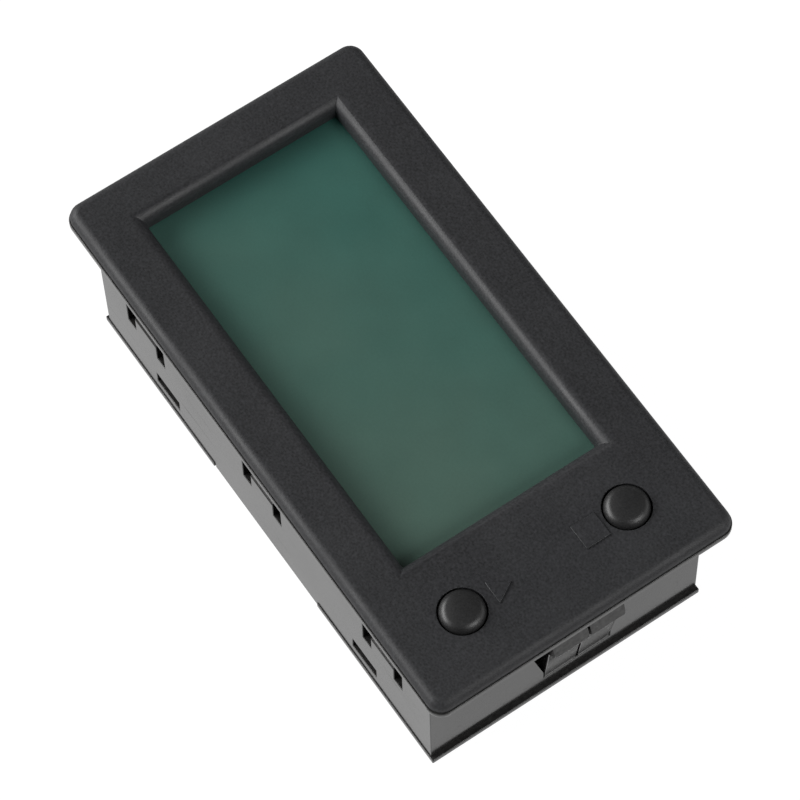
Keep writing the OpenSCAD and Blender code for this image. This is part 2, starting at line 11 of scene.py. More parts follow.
import bmesh
import bpy
from bpy.props import FloatProperty, FloatVectorProperty, IntProperty, PointerProperty
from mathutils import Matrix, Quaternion, Vector

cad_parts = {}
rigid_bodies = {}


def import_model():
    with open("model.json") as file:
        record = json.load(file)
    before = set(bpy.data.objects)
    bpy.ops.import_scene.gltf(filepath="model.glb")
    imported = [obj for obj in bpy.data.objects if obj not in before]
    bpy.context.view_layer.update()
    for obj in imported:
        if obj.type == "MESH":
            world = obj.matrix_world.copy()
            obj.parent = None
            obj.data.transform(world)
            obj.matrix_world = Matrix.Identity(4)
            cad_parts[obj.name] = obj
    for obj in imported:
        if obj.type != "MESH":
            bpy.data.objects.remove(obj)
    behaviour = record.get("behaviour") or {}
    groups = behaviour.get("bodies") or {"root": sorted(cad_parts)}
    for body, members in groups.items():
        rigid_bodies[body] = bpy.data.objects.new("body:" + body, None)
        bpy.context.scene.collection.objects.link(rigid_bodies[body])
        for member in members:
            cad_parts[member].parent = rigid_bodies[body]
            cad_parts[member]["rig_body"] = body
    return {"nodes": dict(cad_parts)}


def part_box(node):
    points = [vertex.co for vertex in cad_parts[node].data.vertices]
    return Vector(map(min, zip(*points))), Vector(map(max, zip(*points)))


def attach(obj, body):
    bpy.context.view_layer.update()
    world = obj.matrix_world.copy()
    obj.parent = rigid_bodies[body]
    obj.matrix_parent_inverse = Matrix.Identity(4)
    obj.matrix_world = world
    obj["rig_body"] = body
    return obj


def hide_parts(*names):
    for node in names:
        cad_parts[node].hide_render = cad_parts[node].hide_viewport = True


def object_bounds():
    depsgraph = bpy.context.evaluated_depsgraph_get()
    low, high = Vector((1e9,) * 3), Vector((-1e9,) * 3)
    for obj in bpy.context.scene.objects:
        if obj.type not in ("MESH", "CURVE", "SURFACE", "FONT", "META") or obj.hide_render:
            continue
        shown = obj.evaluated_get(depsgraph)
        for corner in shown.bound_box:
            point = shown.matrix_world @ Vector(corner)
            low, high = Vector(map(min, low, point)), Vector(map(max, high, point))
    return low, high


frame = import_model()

bl_info = {
    "name": "Battery monitor display head",
    "version": (1, 0, 0),
    "blender": (4, 5, 0),
    "location": "View3D > Sidebar > Display head",
    "description": "Finishes a snap-in panel display with two buttons, and lights it",
    "category": "Object",
}

MM = 0.001
CAD_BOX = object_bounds()
FACE_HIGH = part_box("front_bezel")[1]
FILM_LOW, FILM_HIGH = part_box("lcd_front_polarizer")
WELD = 0.001 * MM               # vertices closer than this are one vertex
FLAT = math.radians(0.4)        # faces that meet at less than this are one flat face
HARD = math.radians(34)         # edges sharper than this are rounded
RIM_BAND = 3 * MM               # how far in from the bezel's outline its lower rim reaches
RIM_DEPTH = 0.1 * MM            # how far above or below the housing's top the rim may lie
MARK_HEIGHT = 0.2 * MM          # height of the marks raised on the bezel's face
LEG_HEIGHT = 0.5 * MM           # how far the chips' legs reach below the board
HEADER_BLOCK = 2.5 * MM         # height of the black block that holds the header's pins
STRIPE_DEPTH = 0.35 * MM        # how deep the pale stripe goes into the capacitors
CAN_END = 0.02 * MM             # thickness of the capacitors' bare end
GRAIN_CONTRAST = 2.4            # how strongly the moulded grain shows in the colour
DUST = (0.02, 0.02, 0.02, 1)
FLOOR_GAP = 0.1 * MM            # how far the floor lies below the part
FLOOR_SIDES = 96
SENSOR_WIDTH = 36.0             # of the camera, in millimetres
CLIP_START, CLIP_END = 0.01, 20.0
SOFTBOXES = (                   # name, place, width and height; their powers are settings
    ("key", (-0.66, -0.68, 0.52), 1.3, 0.5),
    ("fill", (0.44, 0.90, 0.26), 1.0, 0.45),
    ("lamp", (0.74, 0.24, 0.63), 0.5, 0.5),
)


# ---------------------------------------------------------------- settings

def colour(name, description, default):
    return FloatVectorProperty(name=name, description=description, default=default,
                               subtype="COLOR", size=3, min=0.0, max=1.0)


def length(name, description, default_mm):
    return FloatProperty(name=name, description=description, default=default_mm * MM,
                         min=0.0, subtype="DISTANCE", unit="LENGTH", precision=5)


def share(name, description, default):
    return FloatProperty(name=name, description=description, default=default,
                         min=0.0, max=1.0, subtype="FACTOR")


class CaseSettings(bpy.types.PropertyGroup):
    """Colours, grain and edge rounding of the moulded case"""
    bezel_colour: colour("Bezel colour", "Matt black of the bezel", (0.0205, 0.0208, 0.0226))
    housing_colour: colour("Housing colour", "Black of the housing and the rear cover",
                           (0.018, 0.0176, 0.0172))
    # The latch arms are the housing's plastic; their paler black is painted light, brightening them
    # to stand in for the floor's reflection in them.
    latch_painted_paler_colour: colour("Latch colour", "Black of the latch arms, painted a little paler as painted light for the floor's reflection",
                         (0.045, 0.0445, 0.044))
    button_colour: colour("Button colour", "Black of the button caps", (0.0155, 0.0155, 0.0158))
    bezel_roughness: share("Bezel roughness", "How matt the eroded bezel is", 0.56)
    housing_roughness: share("Housing roughness", "How matt the smooth housing is", 0.3)
    button_roughness: share("Button roughness", "How matt the button caps are", 0.42)
    grain: length("Grain size", "Width of one grain of the eroded finish", 0.32)
    grain_depth: length("Grain depth", "Height of the eroded finish", 0.03)
    rim_round: length("Rim rounding", "Rounding of the bezel's lower rim", 0.1)
    edge_round: length("Edge rounding", "Rounding of the other moulded edges", 0.12)
    mark_round: length("Mark rounding", "Rounding of the raised marks' edges", 0.09)
    round_segments: IntProperty(name="Rounding segments", min=1, max=6, default=3,
                                description="Faces across each rounded edge")


class DisplaySettings(bpy.types.PropertyGroup):
    """Colours of the liquid crystal cell and its backlight"""
    film_cool: colour("Film, cool side", "Teal of the film at its upper left",
                      (0.028, 0.105, 0.087))
    film_warm: colour("Film, warm side", "Grey-green of the film at its lower right",
                      (0.062, 0.110, 0.088))
    film_roughness: share("Film roughness", "How matt the display film is", 0.34)
    glass_tint: colour("Glass tint", "Tint of the cell's glass", (0.72, 0.86, 0.8))


class BoardSettings(bpy.types.PropertyGroup):
    """Colours of the circuit boards and their parts"""
    mask_colour: colour("Solder mask", "Green of the solder mask", (0.012, 0.105, 0.04))
    resin_colour: colour("Package resin", "Black of the chip packages", (0.02, 0.02, 0.021))
    socket_colour: colour("Socket plastic", "Nylon of the cable socket", (0.74, 0.71, 0.62))
    part_round: length("Part rounding", "Rounding of the small moulded parts", 0.06)


class StageSettings(bpy.types.PropertyGroup):
    """Floor, lamps and camera"""
    floor_colour: colour("Floor colour", "Pale floor", (0.12, 0.12, 0.12))
    floor_lift: share("Floor lift", "How far the floor is brightened where it is seen", 0.95)
    floor_mirror: share("Floor in reflections", "Share of the lift that reflections see", 0.78)
    floor_size: FloatProperty(name="Floor size", description="Radius of the floor", default=4.0,
                              min=0.5, subtype="DISTANCE", unit="LENGTH")
    sky: share("Sky", "Brightness of the room", 0.12)
    front: share("Front", "Brightness of the room behind the camera", 0.05)
    key_power: FloatProperty(name="Key power", description="Power of the left softbox",
                             default=18.0, min=0.0, subtype="POWER", unit="POWER")
    fill_power: FloatProperty(name="Fill power", description="Power of the low right softbox",
                              default=1.6, min=0.0, subtype="POWER", unit="POWER")
    lamp_power: FloatProperty(name="Lamp power", description="Power of the high lamp on the right",
                              default=5.0, min=0.0, subtype="POWER", unit="POWER")
    camera_place: FloatVectorProperty(name="Camera place", description="Where the camera stands",
                                      default=(0.20043, -0.12590, 0.49540), size=3,
                                      subtype="TRANSLATION", unit="LENGTH", precision=5)
    camera_aim: FloatVectorProperty(name="Camera aim", description="Point the camera looks at",
                                    default=(0.00506, -0.00246, 0.0275), size=3,
                                    subtype="TRANSLATION", unit="LENGTH", precision=5)
    camera_roll: FloatProperty(name="Camera roll", description="Turn of the camera about its view",
                               default=math.radians(-2.2), subtype="ANGLE", unit="ROTATION")
    focal_length: FloatProperty(name="Focal length", description="Lens, in millimetres on 36 mm",
                                default=183.79, min=10.0)


class DisplayHeadSettings(bpy.types.PropertyGroup):
    """All settings of the display head"""
    case: PointerProperty(type=CaseSettings)
    display: PointerProperty(type=DisplaySettings)
    boards: PointerProperty(type=BoardSettings)
    stage: PointerProperty(type=StageSettings)


# ---------------------------------------------------------------- shader nodes

def add(tree, kind, values=None, **options):
    """Adds a node. values fills its input sockets, with a link where the value is a socket."""
    made = tree.nodes.new(kind)
    for option, value in options.items():
        setattr(made, option, value)
    for socket, value in (values or {}).items():
        if isinstance(value, bpy.types.NodeSocket):
            tree.links.new(value, made.inputs[socket])
        else:
            made.inputs[socket].default_value = value
    return made


def calculate(tree, operation, first, second=0.0, clamp=False):
    values = {0: first, 1: second}
    return add(tree, "ShaderNodeMath", values, operation=operation, use_clamp=clamp).outputs[0]


def blend_colours(tree, factor, first, second):
    values = {0: factor, 6: first, 7: second}
    return add(tree, "ShaderNodeMix", values, data_type="RGBA").outputs[2]


def ramp(tree, factor, low, high, start=0.0, end=1.0):
    """Maps factor from start..end onto low..high, held at both ends."""
    values = {0: factor, 1: start, 2: end, 3: low, 4: high}
    return add(tree, "ShaderNodeMapRange", values).outputs[0]


def place(tree):
    """The point's own place on the piece, in metres."""
    return add(tree, "ShaderNodeTexCoord").outputs["Object"]


def rgba(values):
    return (*values, 1.0)


def effect_group(name, inputs, outputs):
    """An empty shader node group, what it is given and what it puts out."""
    group = bpy.data.node_groups.new(name, "ShaderNodeTree")
    for socket, kind, default in inputs:
        made = group.interface.new_socket(socket, in_out="INPUT", socket_type="NodeSocket" + kind)
        made.default_value = default
    for socket, kind in outputs:
        group.interface.new_socket(socket, in_out="OUTPUT", socket_type="NodeSocket" + kind)
    given = group.nodes.new("NodeGroupInput").outputs
    out = group.nodes.new("NodeGroupOutput").inputs
    return group, given, out


def moulded_group():
    """Eroded or smooth moulded plastic: fine grain, slow mottling, and rounded edges made glossier
    and painted paler, which is a painted highlight.
    """
    group, given, out = effect_group(
        "moulded surface",
        [("Colour", "Color", (0.02, 0.02, 0.02, 1)), ("Roughness", "Float", 0.5),
         ("Grain density", "Float", 6000.0), ("Mottle", "Float", 0.1),
         ("Edge polish", "Float", 0.2)],
        [("Colour", "Color"), ("Roughness", "Float"), ("Height", "Float")])
    here = place(group)
    fine = add(group, "ShaderNodeTexNoise",
               {"Vector": here, "Scale": given["Grain density"], "Detail": 2.0, "Roughness": 0.6})
    pits = add(group, "ShaderNodeTexVoronoi", {"Vector": here, "Scale": given["Grain density"]},
               feature="SMOOTH_F1")
    slow = add(group, "ShaderNodeTexNoise", {"Vector": here, "Scale": 85.0, "Detail": 4.0})
    grain = calculate(group, "ADD", calculate(group, "MULTIPLY", fine.outputs["Fac"], 0.65),
                      calculate(group, "MULTIPLY", pits.outputs["Distance"], 0.35))
    group.links.new(grain, out["Height"])
    mottle = calculate(group, "MULTIPLY",
                       calculate(group, "SUBTRACT", slow.outputs["Fac"], 0.5), given["Mottle"])
    specks = calculate(group, "MULTIPLY",
                       calculate(group, "SUBTRACT", grain, 0.5), GRAIN_CONTRAST)
    brightness = calculate(group, "ADD", calculate(group, "ADD", mottle, specks), 1.0)
    # The rounded edges are painted paler in colour, a painted highlight where they catch the light,
    # and are made a little glossier.
    edge = add(group, "ShaderNodeAttribute", attribute_name="edge_polish").outputs["Fac"]
    gloss_and_highlight = calculate(group, "MULTIPLY", edge, given["Edge polish"])
    lifted = calculate(group, "ADD", brightness, gloss_and_highlight)
    shade = add(group, "ShaderNodeVectorMath", {0: given["Colour"]}, operation="SCALE")
    group.links.new(lifted, shade.inputs["Scale"])
    group.links.new(shade.outputs[0], out["Colour"])
    rough = calculate(group, "ADD", given["Roughness"], mottle)
    smoother = calculate(group, "MULTIPLY", gloss_and_highlight, 0.4)
    group.links.new(calculate(group, "SUBTRACT", rough, smoother, True), out["Roughness"])
    return group


def scuff_group():
    """Fine rubbed lines and dust, as a mask."""
    group, given, out = effect_group(
        "rubs and dust", [("Line density", "Float", 400.0), ("Amount", "Float", 0.5)],
        [("Mask", "Float")])
    here = place(group)
    turned = add(group, "ShaderNodeMapping", {"Vector": here, "Rotation": (0.3, 0.2, 0.7),
                                              "Scale": (1.0, 14.0, 14.0)})
    lines = add(group, "ShaderNodeTexNoise",
                {"Vector": turned.outputs[0], "Scale": given["Line density"], "Detail": 3.0})
    rubs = ramp(group, lines.outputs["Fac"], 0.0, 1.0, 0.62, 0.78)
    dust = add(group, "ShaderNodeTexVoronoi", {"Vector": here, "Scale": 900.0})
    specks = ramp(group, dust.outputs["Distance"], 1.0, 0.0, 0.02, 0.10)
    both = calculate(group, "MAXIMUM", rubs, specks)
    group.links.new(calculate(group, "MULTIPLY", both, given["Amount"]), out["Mask"])
    return group


def grain_group():
    """A plain fine grain for small parts: colour shift and height."""
    group, given, out = effect_group(
        "fine grain", [("Colour", "Color", (0.5, 0.5, 0.5, 1)), ("Density", "Float", 3000.0),
                       ("Spread", "Float", 0.2)],
        [("Colour", "Color"), ("Height", "Float")])
    fine = add(group, "ShaderNodeTexNoise",
               {"Vector": place(group), "Scale": given["Density"], "Detail": 3.0})
    wide = add(group, "ShaderNodeTexNoise",
               {"Vector": place(group), "Scale": 160.0, "Detail": 2.0})
    both = calculate(group, "ADD", calculate(group, "MULTIPLY", fine.outputs["Fac"], 0.5),
                     calculate(group, "MULTIPLY", wide.outputs["Fac"], 0.5))
    shift = calculate(group, "MULTIPLY", calculate(group, "SUBTRACT", both, 0.5), given["Spread"])
    shade = add(group, "ShaderNodeVectorMath", {0: given["Colour"]}, operation="SCALE")
    group.links.new(calculate(group, "ADD", shift, 1.0), shade.inputs["Scale"])
    group.links.new(shade.outputs[0], out["Colour"])
    group.links.new(fine.outputs["Fac"], out["Height"])
    return group


GROUP_MAKERS = {"moulded surface": moulded_group, "rubs and dust": scuff_group,
                "fine grain": grain_group}


def effect(tree, name, values):
    """Places one of the shared groups in a material."""
    group = bpy.data.node_groups.get(name) or GROUP_MAKERS[name]()
    return add(tree, "ShaderNodeGroup", values, node_tree=group).outputs


def new_material(name, **constants):
    """A material, its tree and its Principled shader, with constants set on that shader."""
    material = bpy.data.materials.new(name)
    material.use_nodes = True
    tree = material.node_tree
    shader = tree.nodes["Principled BSDF"]
    for socket, value in constants.items():
        shader.inputs[socket.replace("_", " ")].default_value = value
    return material, tree, shader


def feed(tree, shader, **sockets):
    for socket, value in sockets.items():
        tree.links.new(value, shader.inputs[socket.replace("_", " ")])


def bump(tree, shader, height, depth):
    """Turns a height from 0 to 1 into relief of that depth, in metres."""
    relief = add(tree, "ShaderNodeBump", {"Strength": 1.0, "Distance": depth, "Height": height})
    tree.links.new(relief.outputs[0], shader.inputs["Normal"])


def true_normal(tree):
    """The parts of the flat normal, before bump and smoothing."""
    normal = add(tree, "ShaderNodeNewGeometry").outputs["True Normal"]
    return add(tree, "ShaderNodeSeparateXYZ", {0: normal}).outputs


def grainy(name, body, density, spread, depth, **constants):
    """A plain material with the fine grain in its colour and its relief."""
    material, tree, shader = new_material(name, **constants)
    grain = effect(tree, "fine grain", {"Colour": body, "Density": density, "Spread": spread})
    feed(tree, shader, Base_Color=grain["Colour"])
    bump(tree, shader, grain["Height"], depth)
    return material


def finish(name, maker, *settings):
    """The finished material of that name, made the first time it is asked for."""
    full_name = name + " finish"
    return bpy.data.materials.get(full_name) or maker(full_name, *settings)


# ---------------------------------------------------------------- materials of the case

def bezel_plastic(name, case):
    material, tree, shader = new_material(name, IOR=1.5, Specular_IOR_Level=0.4)
    # The edge value sets the painted highlight along the rounded edges and their gloss.
    out = effect(tree, "moulded surface", {
        "Colour": rgba(case.bezel_colour), "Roughness": case.bezel_roughness,
        "Grain density": 1 / case.grain, "Mottle": 0.3, "Edge polish": 0.15})
    rubs = effect(tree, "rubs and dust", {"Line density": 160.0, "Amount": 0.10})
    dusty = blend_colours(tree, rubs["Mask"], out["Colour"], DUST)
    feed(tree, shader, Base_Color=dusty, Roughness=out["Roughness"])
    bump(tree, shader, out["Height"], case.grain_depth)
    return material


def housing_plastic(name, case, black):
    material, tree, shader = new_material(name, IOR=1.38)
    # The edge value sets the painted highlight along the rounded edges and their gloss.
    out = effect(tree, "moulded surface", {
        "Colour": rgba(black), "Roughness": case.housing_roughness,
        "Grain density": 1800.0, "Mottle": 0.16, "Edge polish": 0.35})
    rubs = effect(tree, "rubs and dust", {"Line density": 90.0, "Amount": 0.12})
    duller = calculate(tree, "MULTIPLY", rubs["Mask"], 1.2)
    rough = calculate(tree, "ADD", out["Roughness"], duller, True)
    feed(tree, shader, Base_Color=out["Colour"], Roughness=rough)
    bump(tree, shader, out["Height"], 0.003 * MM)
    return material


def button_plastic(name, case):
    material, tree, shader = new_material(name, IOR=1.5)
    # The edge value sets the painted highlight along the rounded edges and their gloss.
    out = effect(tree, "moulded surface", {
        "Colour": rgba(case.button_colour), "Roughness": case.button_roughness,
        "Grain density": 5200.0, "Mottle": 0.1, "Edge polish": 0.4})
    rubs = effect(tree, "rubs and dust", {"Line density": 240.0, "Amount": 0.16})
    dusty = blend_colours(tree, rubs["Mask"], out["Colour"], DUST)
    feed(tree, shader, Base_Color=dusty, Roughness=out["Roughness"])
    bump(tree, shader, out["Height"], 0.005 * MM)
    return material


def gasket_foam(name):
    material, tree, shader = new_material(name, Roughness=0.95, Specular_IOR_Level=0.15)
    cells = add(tree, "ShaderNodeTexVoronoi", {"Vector": place(tree), "Scale": 3600.0})
    shade = ramp(tree, cells.outputs["Distance"], 0.6, 1.3, 0.0, 0.7)
    tone = add(tree, "ShaderNodeVectorMath", {0: (0.012, 0.012, 0.012)}, operation="SCALE")
    tree.links.new(shade, tone.inputs["Scale"])
    feed(tree, shader, Base_Color=tone.outputs[0])
    bump(tree, shader, cells.outputs["Distance"], 0.05 * MM)
    return material


# ---------------------------------------------------------------- materials of the display

def display_film(name, display):
    """Green reflective film: a slow change of hue across the cell, clouds and anti-glare grain."""
    material, tree, shader = new_material(name, IOR=1.48)
    size = FILM_HIGH - FILM_LOW
    across = add(tree, "ShaderNodeSeparateXYZ", {0: add(tree, "ShaderNodeMapping", {
        "Vector": place(tree), "Location": (-FILM_LOW.x / size.x, -FILM_LOW.y / size.y, 0.0),
        "Scale": (1 / size.x, 1 / size.y, 0.0)}).outputs[0]})
    downwards = calculate(tree, "SUBTRACT", 1.0, across.outputs["Y"])
    slide = calculate(tree, "ADD", calculate(tree, "MULTIPLY", across.outputs["X"], 0.75),
                      calculate(tree, "MULTIPLY", downwards, 0.45))
    clouds = add(tree, "ShaderNodeTexNoise", {"Vector": place(tree), "Scale": 60.0, "Detail": 3.0})
    cloudy = calculate(tree, "MULTIPLY",
                       calculate(tree, "SUBTRACT", clouds.outputs["Fac"], 0.5), 0.45)
    hue = calculate(tree, "ADD", slide, cloudy, True)
    body = blend_colours(tree, hue, rgba(display.film_cool), rgba(display.film_warm))
    grain = effect(tree, "fine grain", {"Colour": body, "Density": 3200.0, "Spread": 0.4})
    feed(tree, shader, Base_Color=grain["Colour"])
    shader.inputs["Roughness"].default_value = display.film_roughness
    bump(tree, shader, grain["Height"], 0.003 * MM)
    return material


def rear_film(name):
    return grainy(name, (0.09, 0.10, 0.095, 1), 4000.0, 0.2, 0.003 * MM, Roughness=0.3, IOR=1.48)


def display_glass(name, display):
    return grainy(name, rgba(display.glass_tint), 700.0, 0.06, 0.0006 * MM,
                  Roughness=0.03, IOR=1.52, Transmission_Weight=1.0)


def cell_seal(name):
    return grainy(name, (0.16, 0.15, 0.13, 1), 2600.0, 0.5, 0.01 * MM, Roughness=0.55)


def white_film(name):
    return grainy(name, (0.84, 0.85, 0.84, 1), 2400.0, 0.08, 0.006 * MM, Roughness=0.6)


def clear_plastic(name):
    """Acrylic light guide with a grid of etched dots."""
    material, tree, shader = new_material(name, Roughness=0.06, IOR=1.49, Transmission_Weight=0.92)
    dots = add(tree, "ShaderNodeTexVoronoi",
               {"Vector": place(tree), "Scale": 1100.0, "Randomness": 0.0})
    etched = ramp(tree, dots.outputs["Distance"], 1.0, 0.0, 0.18, 0.26)
    body = blend_colours(tree, etched, (0.93, 0.96, 0.97, 1), (0.99, 0.99, 0.98, 1))
    feed(tree, shader, Base_Color=body, Roughness=ramp(tree, etched, 0.06, 0.5))
    bump(tree, shader, etched, 0.01 * MM)
    return material


def led_package(name):
    """White package with a yellow phosphor window on the side that meets the light guide."""
    material, tree, shader = new_material(name, Roughness=0.4)
    window = calculate(tree, "LESS_THAN", true_normal(tree)["X"], -0.5)
    body = blend_colours(tree, window, (0.82, 0.82, 0.78, 1), (0.86, 0.66, 0.12, 1))
    grain = effect(tree, "fine grain", {"Colour": body, "Density": 5000.0, "Spread": 0.1})
    feed(tree, shader, Base_Color=grain["Colour"])
    bump(tree, shader, grain["Height"], 0.004 * MM)
    return material


# ---------------------------------------------------------------- materials of the boards

def circuit_board(name, boards):
    """Solder mask over copper tracks on the flat sides, bare glass cloth at the cut edges."""
    material, tree, shader = new_material(name, IOR=1.5)
    here = place(tree)
    tracks = add(tree, "ShaderNodeTexBrick", {
        "Vector": here, "Scale": 340.0, "Mortar Size": 0.06, "Mortar Smooth": 0.2,
        "Brick Width": 1.7, "Row Height": 0.42}, offset=0.37, squash=0.6)
    bends = add(tree, "ShaderNodeTexVoronoi", {"Vector": here, "Scale": 210.0},
                feature="DISTANCE_TO_EDGE", distance="CHEBYCHEV")
    copper = calculate(tree, "MAXIMUM", tracks.outputs["Fac"],
                       ramp(tree, bends.outputs["Distance"], 1.0, 0.0, 0.02, 0.035))
    mask = blend_colours(tree, copper, rgba(boards.mask_colour), (0.03, 0.19, 0.07, 1))
    weave = add(tree, "ShaderNodeTexWave", {"Vector": here, "Scale": 1400.0, "Distortion": 1.0},
                bands_direction="Z")
    cloth = blend_colours(tree, weave.outputs["Fac"], (0.36, 0.31, 0.15, 1), (0.5, 0.46, 0.27, 1))
    upright = calculate(tree, "ABSOLUTE", true_normal(tree)["Z"])
    flat = calculate(tree, "GREATER_THAN", upright, 0.5)
    body = blend_colours(tree, flat, cloth, mask)
    feed(tree, shader, Base_Color=body, Roughness=ramp(tree, flat, 0.8, 0.28))
    bump(tree, shader, calculate(tree, "MULTIPLY", copper, flat), 0.03 * MM)
    return material


def resin(name, boards):
    return grainy(name, rgba(boards.resin_colour), 5200.0, 0.4, 0.012 * MM, Roughness=0.62)


def chip_package(name, boards):
    """Black package whose legs, low beside the board and clear of the body, are tinned."""
    material, tree, shader = new_material(name)
    grain = effect(tree, "fine grain",
                   {"Colour": rgba(boards.resin_colour), "Density": 5200.0, "Spread": 0.4})
    leg_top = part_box("main_board")[0].z
    height = add(tree, "ShaderNodeSeparateXYZ", {0: place(tree)}).outputs["Z"]
    metal = calculate(tree, "GREATER_THAN", height, leg_top - LEG_HEIGHT - WELD)
    legs = calculate(tree, "MULTIPLY", metal, calculate(tree, "LESS_THAN", height, leg_top + WELD))
    feed(tree, shader, Base_Color=blend_colours(tree, legs, grain["Colour"], (0.62, 0.61, 0.58, 1)),
         Metallic=legs, Roughness=ramp(tree, legs, 0.62, 0.3))
    bump(tree, shader, grain["Height"], 0.01 * MM)
    return material


def steel(name):
    material, tree, shader = new_material(name, Metallic=1.0)
    drawn_out = add(tree, "ShaderNodeMapping", {"Vector": place(tree), "Scale": (1.0, 12.0, 12.0)})
    brushed = add(tree, "ShaderNodeTexNoise",
                  {"Vector": drawn_out.outputs[0], "Scale": 600.0, "Detail": 3.0})
    body = blend_colours(tree, brushed.outputs["Fac"], (0.52, 0.53, 0.54, 1), (0.68, 0.68, 0.67, 1))
    feed(tree, shader, Base_Color=body, Roughness=ramp(tree, brushed.outputs["Fac"], 0.22, 0.42))
    bump(tree, shader, brushed.outputs["Fac"], 0.002 * MM)
    return material


def capacitor_sleeve(name):
    """Shrink sleeve with a pale stripe, and a bare aluminium end."""
    material, tree, shader = new_material(name)
    low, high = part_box("electrolytic_capacitors")
    parts = add(tree, "ShaderNodeSeparateXYZ", {0: place(tree)})
    stripe = calculate(tree, "GREATER_THAN", parts.outputs["Y"], high.y - STRIPE_DEPTH)
    end = calculate(tree, "LESS_THAN", parts.outputs["Z"], low.z + CAN_END)
    sleeve = blend_colours(tree, stripe, (0.012, 0.022, 0.075, 1), (0.5, 0.52, 0.56, 1))
    body = blend_colours(tree, end, sleeve, (0.66, 0.66, 0.65, 1))
    grain = effect(tree, "fine grain", {"Colour": body, "Density": 2500.0, "Spread": 0.14})
    feed(tree, shader, Base_Color=grain["Colour"], Metallic=end,
         Roughness=ramp(tree, end, 0.35, 0.25))
    bump(tree, shader, grain["Height"], 0.004 * MM)
    return material


def end_capped(name, body_colour, density):
    """A chip part: its body colour, with tinned ends that face along X."""
    material, tree, shader = new_material(name)
    grain = effect(tree, "fine grain", {"Colour": body_colour, "Density": density, "Spread": 0.3})
    sideways = calculate(tree, "ABSOLUTE", true_normal(tree)["X"])
    tinned = calculate(tree, "GREATER_THAN", sideways, 0.5)
    body = blend_colours(tree, tinned, grain["Colour"], (0.68, 0.67, 0.64, 1))
    feed(tree, shader, Base_Color=body, Metallic=tinned, Roughness=ramp(tree, tinned, 0.5, 0.3))
    bump(tree, shader, grain["Height"], 0.006 * MM)
    return material


def ceramic(name):
    return end_capped(name, (0.42, 0.27, 0.13, 1), 3400.0)


def resistor_body(name):
    return end_capped(name, (0.018, 0.018, 0.02, 1), 4200.0)


def header_pins(name):
    """Black header block with gold pins standing out of it."""
    material, tree, shader = new_material(name)
    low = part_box("board_header")[0]
    height = add(tree, "ShaderNodeSeparateXYZ", {0: place(tree)}).outputs["Z"]
    pins = calculate(tree, "GREATER_THAN", height, low.z + HEADER_BLOCK + WELD)
    grain = effect(tree, "fine grain",
                   {"Colour": (0.018, 0.018, 0.019, 1), "Density": 3000.0, "Spread": 0.3})
    feed(tree, shader, Base_Color=blend_colours(tree, pins, grain["Colour"], (0.83, 0.62, 0.24, 1)),
         Metallic=pins, Roughness=ramp(tree, pins, 0.5, 0.24))
    bump(tree, shader, grain["Height"], 0.005 * MM)
    return material


def socket_plastic(name, boards):
    return grainy(name, rgba(boards.socket_colour), 2600.0, 0.1, 0.006 * MM,
                  Roughness=0.38, Subsurface_Weight=0.1, Subsurface_Scale=0.4 * MM)


# ---------------------------------------------------------------- pieces

def body_of(node):
    """The name of the CAD body that a node belongs to."""
    return frame["nodes"][node]["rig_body"]


def set_material(piece, material):
    piece.data.materials.clear()
    piece.data.materials.append(material)


def finish_nodes(material, *nodes):
    """Gives CAD nodes that keep their mesh a better material."""
    for node in nodes:
        set_material(frame["nodes"][node], material)


def hard_edges(bm):
    return [e for e in bm.edges if len(e.link_faces) == 2 and e.calc_face_angle() > HARD]


def round_edges(bm, edges, radius, segments, polish):
    """Rounds those edges and marks the new vertices, so that materials can make them glossier and
    paint a highlight on them.
    """
    made = bmesh.ops.bevel(bm, geom=edges, offset=radius, offset_type="OFFSET", affect="EDGES",
                           segments=segments, profile=0.5, material=-1, clamp_overlap=False)
    for vertex in made["verts"]:
        vertex[polish] = 1.0


def sort_elements(elements, key):
    rank = {each: number for number, each in enumerate(sorted(elements, key=key))}
    elements.sort(key=rank.get)
    elements.index_update()


def put_in_order(bm):
    """Sorts a mesh by place, because rounding stores it in another order on each run."""
    sort_elements(bm.verts, lambda vertex: tuple(vertex.co))
    for elements in (bm.edges, bm.faces):
        sort_elements(elements, lambda each: sorted(vertex.index for vertex in each.verts))


